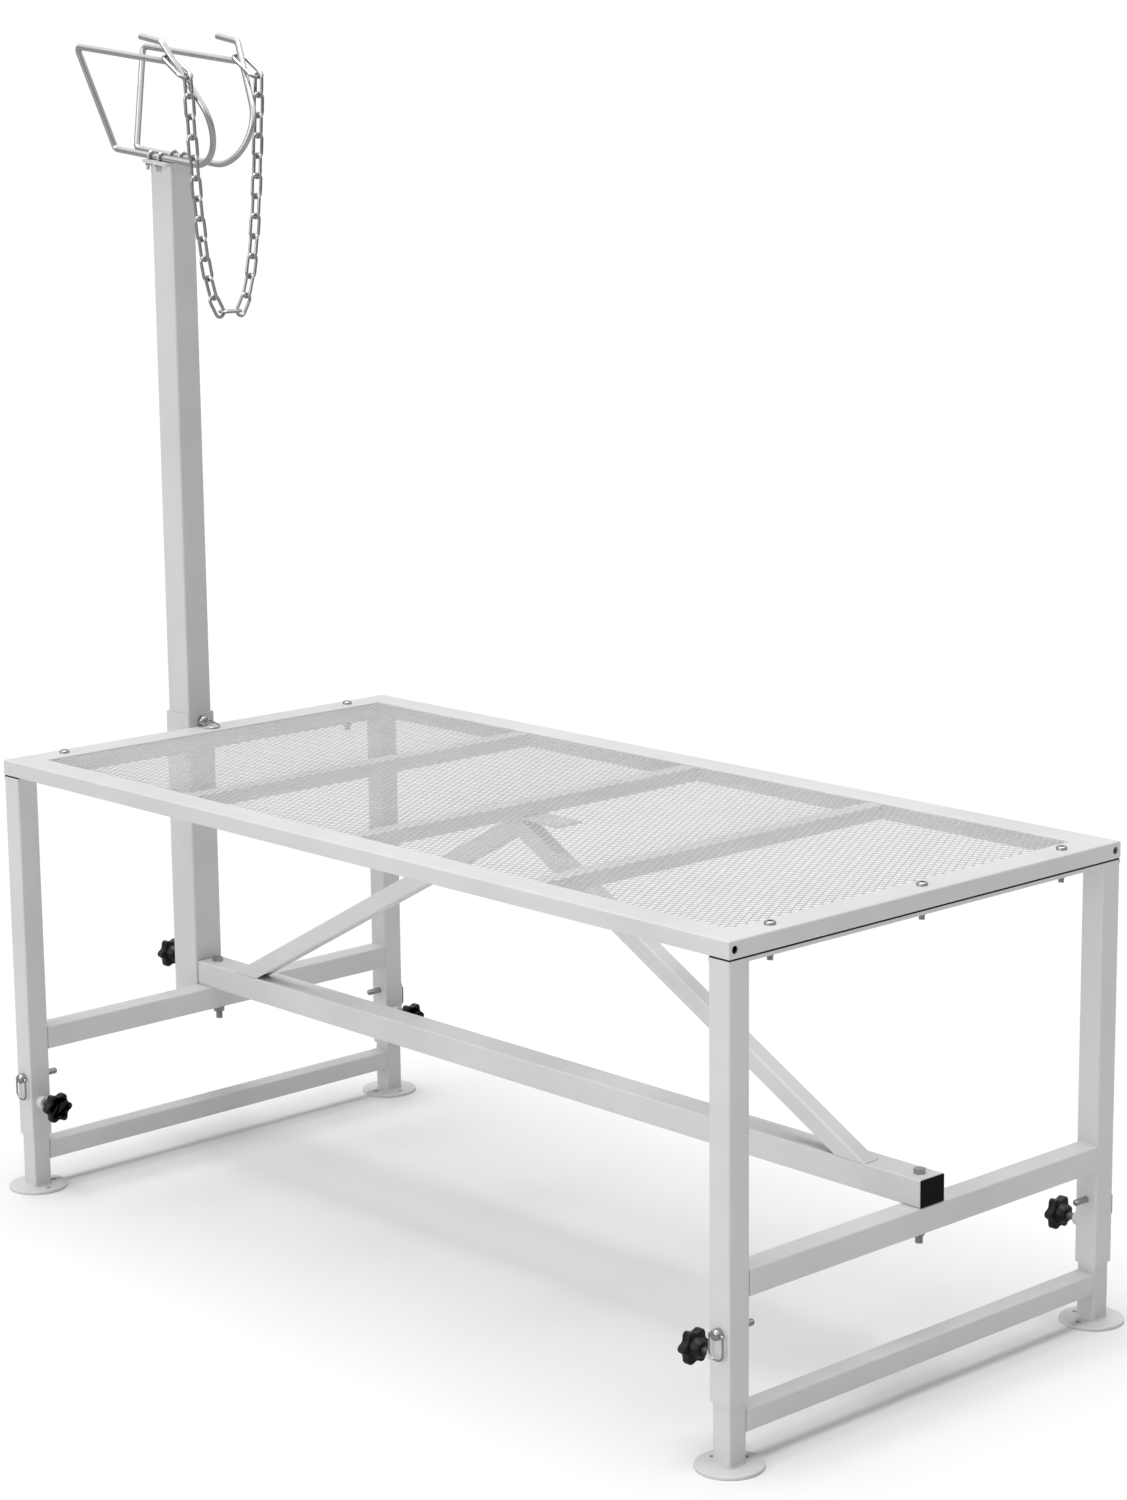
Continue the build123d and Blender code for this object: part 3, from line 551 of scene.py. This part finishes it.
def thread(radius, depth, pitch, length):
    """A helical ridge about the z axis, from 0 to a length."""
    reach = pitch * RIDGE_REACH
    start_clean()
    bpy.ops.mesh.primitive_circle_add(vertices=3, radius=reach, fill_type="NOTHING")
    ridge = newest("ridge")
    ridge.rotation_euler = (math.pi / 2, 0, -math.pi / 2)
    apply_place(ridge)
    ridge.rotation_euler = (0, math.pi / 2, 0)
    apply_place(ridge)
    ridge.scale = (depth / reach * RIDGE_HEIGHT, 1, 1)
    ridge.location = (radius - depth * RIDGE_SEAT, 0, pitch / 2)
    apply_place(ridge)
    turns = int(length / pitch) - 1
    apply_modifier(ridge, "SCREW", axis="Z", angle=2 * math.pi, screw_offset=pitch,
                   iterations=turns, steps=TURN_STEPS, render_steps=TURN_STEPS)
    return outward(ridge)


def threaded_rod(radius, depth, pitch, length):
    """A core with a thread on it, along the z axis from 0 to a length."""
    start_clean()
    core_radius = radius - depth * CORE_DEPTH
    bpy.ops.mesh.primitive_cylinder_add(vertices=28, radius=core_radius, depth=length)
    core = newest("core")
    core.location.z = length / 2
    apply_place(core)
    apply_modifier(core, "BEVEL", width=0.4 * MM, segments=2, limit_method="ANGLE")
    return smooth(join([core, thread(radius, depth, pitch, length)], "rod"), 30)


STUD_RADIUS = 4.0 * MM
STUD_THREAD_DEPTH = 0.65 * MM
STUD_PITCH = 1.5 * MM

for name, direction in CLAMPS.items():
    low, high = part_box(f"{name}_stud")
    rod = threaded_rod(STUD_RADIUS, STUD_THREAD_DEPTH, STUD_PITCH, high.x - low.x)
    rod.data.transform(clamp_place(f"{name}_stud", direction))
    rod.name = rod.data.name = f"{name}_threaded_stud"
    finish(rod, screw_zinc, f"{name}_clamp_stud")
    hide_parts(f"{name}_stud")

# %% Threads on the bolts of the deck and the beam
# For each kind of bolt: its radius, its pitch, how much of its end is threaded, and how far
# its tip hangs below the plate or rail.
DECK_BOLT = {"radius": 3.0 * MM, "pitch": 1.0 * MM, "threaded": 7.0 * MM, "drop": 13.2 * MM}
BEAM_BOLT = {"radius": 4.0 * MM, "pitch": 1.25 * MM, "threaded": 11.0 * MM, "drop": 18.8 * MM}
DECK_BOLT_INSET = 20 * MM
DECK_BOLT_SIDE = 235 * MM
BEAM_BOLT_INSET = 17.8 * MM
BOLT_THREAD_OUT = 0.35 * MM
BOLT_THREAD_DEPTH = 0.5 * MM
BOLT_TIP_BARE = 0.3 * MM


def bolt_thread(bolt, x, y, under):
    """The thread on the end of a bolt that hangs from the underside of a plate or rail."""
    ridge = thread(bolt["radius"] + BOLT_THREAD_OUT, BOLT_THREAD_DEPTH,
                   bolt["pitch"], bolt["threaded"])
    ridge.location = (x, y, under - bolt["drop"] + BOLT_TIP_BARE)
    return apply_place(ridge)


plate_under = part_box("tail_top_plate")[0].z
tail_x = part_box("deck_tail_rail")[1].x - DECK_BOLT_INSET
head_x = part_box("deck_head_rail")[0].x + DECK_BOLT_INSET
spots = [(tail_x, y) for y in (-DECK_BOLT_SIDE, 0, DECK_BOLT_SIDE)]
spots += [(head_x, y) for y in (-DECK_BOLT_SIDE, DECK_BOLT_SIDE)]
ridges = [bolt_thread(DECK_BOLT, x, y, plate_under) for x, y in spots]
rail_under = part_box("tail_mid_rail")[0].z
beam_low, beam_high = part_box("centre_beam")
for x in (beam_low.x + BEAM_BOLT_INSET, beam_high.x - BEAM_BOLT_INSET):
    ridges.append(bolt_thread(BEAM_BOLT, x, 0, rail_under))
finish(smooth(join(ridges, "bolt_threads"), 30), screw_zinc, "stand")

# %% [markdown]
# ## Weld beads
# The frames are welded and then coated. A bead is a row of flattened drops, each laid over
# the edge of the last, so one small sphere and an Array make a whole run of weld.

# %% Weld beads
BEAD = 1.7 * MM
BEAD_STEP = 1.5 * MM
BEAD_LONG = 0.8
RAIL_INSET = 3 * MM
SIDE_INSET = 2 * MM
BRACE_RUN = 30 * MM
# The share of a leg's side that stays bare at each of its corners.
FOOT_CORNER = 0.12


def weld(start, end):
    """A run of weld from one point to another."""
    start, end = Vector(start), Vector(end)
    run = end - start
    start_clean()
    bpy.ops.mesh.primitive_uv_sphere_add(segments=12, ring_count=8, radius=BEAD)
    drop = newest("drop")
    drop.scale = (BEAD_LONG, 1, 1)
    apply_place(drop)
    count = max(2, int(run.length / BEAD_STEP))
    apply_modifier(drop, "ARRAY", count=count, use_relative_offset=False,
                   use_constant_offset=True, constant_offset_displace=(run.length / count, 0, 0))
    turn = run.to_track_quat("X", "Z").to_matrix().to_4x4()
    drop.matrix_world = Matrix.Translation(start) @ turn
    return apply_place(drop)


def rail_welds(rail):
    """Runs above and below a cross rail, at both of its ends."""
    low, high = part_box(rail)
    runs = []
    for y in (low.y, high.y):
        for z in (low.z, high.z):
            runs.append(weld((low.x + RAIL_INSET, y, z), (high.x - RAIL_INSET, y, z)))
    return runs


def foot_welds(leg, foot):
    """Four runs round a leg where it stands on its foot plate."""
    low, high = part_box(leg)
    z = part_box(foot)[1].z
    corners = [(low.x, low.y), (high.x, low.y), (high.x, high.y), (low.x, high.y)]
    runs = []
    for (x, y), (next_x, next_y) in zip(corners, corners[1:] + corners[:1]):
        start, end = Vector((x, y, z)), Vector((next_x, next_y, z))
        runs.append(weld(start.lerp(end, FOOT_CORNER), start.lerp(end, 1 - FOOT_CORNER)))
    return runs


def brace_welds(end):
    """A run across the heel of a brace, and one along its far side."""
    low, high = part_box(f"{end}_brace")
    heel = high.x if end == "tail" else low.x
    left, right = sorted((heel, heel - ENDS[end] * BRACE_RUN))
    return [
        weld((heel, low.y + SIDE_INSET, low.z), (heel, high.y - SIDE_INSET, low.z)),
        weld((left, high.y, low.z), (right, high.y, low.z)),
    ]


def sleeve_welds(carrier):
    """Upright runs at both sides of the post's sleeve, where it meets what carries it."""
    sleeve_low, sleeve_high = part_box("post_sleeve")
    low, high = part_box(carrier)
    x, bottom, top = sleeve_high.x, low.z + SIDE_INSET, high.z - SIDE_INSET
    return [weld((x, y, bottom), (x, y, top)) for y in (sleeve_low.y, sleeve_high.y)]


upper = []
for end in ENDS:
    upper += rail_welds(f"{end}_mid_rail") + brace_welds(end)
for carrier in ("deck_head_rail", "head_mid_rail"):
    upper += sleeve_welds(carrier)
finish(smooth(join(upper, "frame_welds"), 60), paint, "stand")
for end in ENDS:
    runs = rail_welds(f"{end}_low_rail")
    for side in SIDES:
        runs += foot_welds(f"{end}_{side}_inner_leg", f"{end}_foot_plates")
    finish(smooth(join(runs, f"{end}_foot_welds"), 60), paint, f"{end}_lower_frame")

# %% [markdown]
# ## Camera
# The camera's place, turn and lens are solved from the corners of the deck and the legs, so
# the stand fills the frame from the same side and with the same perspective.

# %% Camera
LENS = 81.67
SENSOR = 36
CAMERA_AZIMUTH = 47.217
CAMERA_ELEVATION = 11.508
CAMERA_ROLL = -0.608
CAMERA_PLACE = (3.0300, -2.6822, 1.4417)

bpy.ops.object.camera_add(location=CAMERA_PLACE)
camera = bpy.context.object
turn = (
    Matrix.Rotation(math.radians(CAMERA_AZIMUTH), 3, "Z")
    @ Matrix.Rotation(math.radians(90 - CAMERA_ELEVATION), 3, "X")
    @ Matrix.Rotation(math.radians(CAMERA_ROLL), 3, "Z")
)
camera.rotation_euler = turn.to_euler()
camera.data.lens = LENS
camera.data.sensor_width = SENSOR
bpy.context.scene.camera = camera
bpy.context.scene.view_settings.view_transform = "Standard"

# %% [markdown]
# ## Studio
# The backdrop is white to the camera. The light itself is weaker: a dim, even room, one wide
# lamp overhead for the shadow under the deck, and a broad lamp that fills the near side.
# Metal mirrors the room, so what it sees is graded from a dark horizon to a bright ceiling,
# over a grey floor.

# %% World
# How bright the world is: to the camera, as the room's own light, and in mirrors, first at
# the horizon and then overhead.
SEEN = 1.0
ROOM = 0.26
HORIZON = 0.08
CEILING = 1.2


def choose(tree, share, first, second):
    """A value between two others, by a share from 0 to 1."""
    node = tree.nodes.new("ShaderNodeMix")
    tree.links.new(share, node.inputs["Factor"])
    for socket, value in ((node.inputs["A"], first), (node.inputs["B"], second)):
        if isinstance(value, float):
            socket.default_value = value
        else:
            tree.links.new(value, socket)
    return node.outputs["Result"]


world = bpy.data.worlds.new("studio")
bpy.context.scene.world = world
world.use_nodes = True
tree = world.node_tree
background = tree.nodes["Background"]
background.inputs["Color"].default_value = (1, 1, 1, 1)
rays = tree.nodes.new("ShaderNodeLightPath")
direction = tree.nodes.new("ShaderNodeTexCoord").outputs["Generated"]
split = tree.nodes.new("ShaderNodeSeparateXYZ")
tree.links.new(direction, split.inputs["Vector"])
mirrored = ramp(tree, split.outputs["Z"], 0.0, 0.6, HORIZON, CEILING)
room = choose(tree, rays.outputs["Is Glossy Ray"], ROOM, mirrored)
seen = choose(tree, rays.outputs["Is Camera Ray"], room, SEEN)
tree.links.new(seen, background.inputs["Strength"])


# %% Lamps and floor
def sun(name, power, spread, heading):
    """A lamp far away, whose disc is a spread in degrees wide."""
    bpy.ops.object.light_add(type="SUN", location=(0, -2, 3))
    lamp = bpy.context.object
    lamp.name = name
    lamp.data.energy = power
    lamp.data.angle = math.radians(spread)
    lamp.rotation_euler = Vector(heading).to_track_quat("-Z", "Y").to_euler()


sun("overhead", power=2.75, spread=42, heading=(0.02, 0.03, -1))
sun("near_side", power=1.15, spread=45, heading=(0.10, 0.97, -0.22))

FLOOR_SIZE = 60
FLOOR_DROP = 0.5 * MM
FLOOR_WHITE = (0.84, 0.84, 0.84)
FLOOR_MIRRORED = (0.38, 0.38, 0.38)

start_clean()
bpy.ops.mesh.primitive_plane_add(size=FLOOR_SIZE, location=(0, 0, -FLOOR_DROP))
floor = newest("floor")
floor_white, tree, shader = new_material("floor_white", FLOOR_WHITE, rough=0.9)
rays = tree.nodes.new("ShaderNodeLightPath")
tone = mix_colour(tree, rays.outputs["Is Glossy Ray"], FLOOR_WHITE, FLOOR_MIRRORED)
tree.links.new(tone, shader.inputs["Base Color"])
floor.data.materials.append(floor_white)
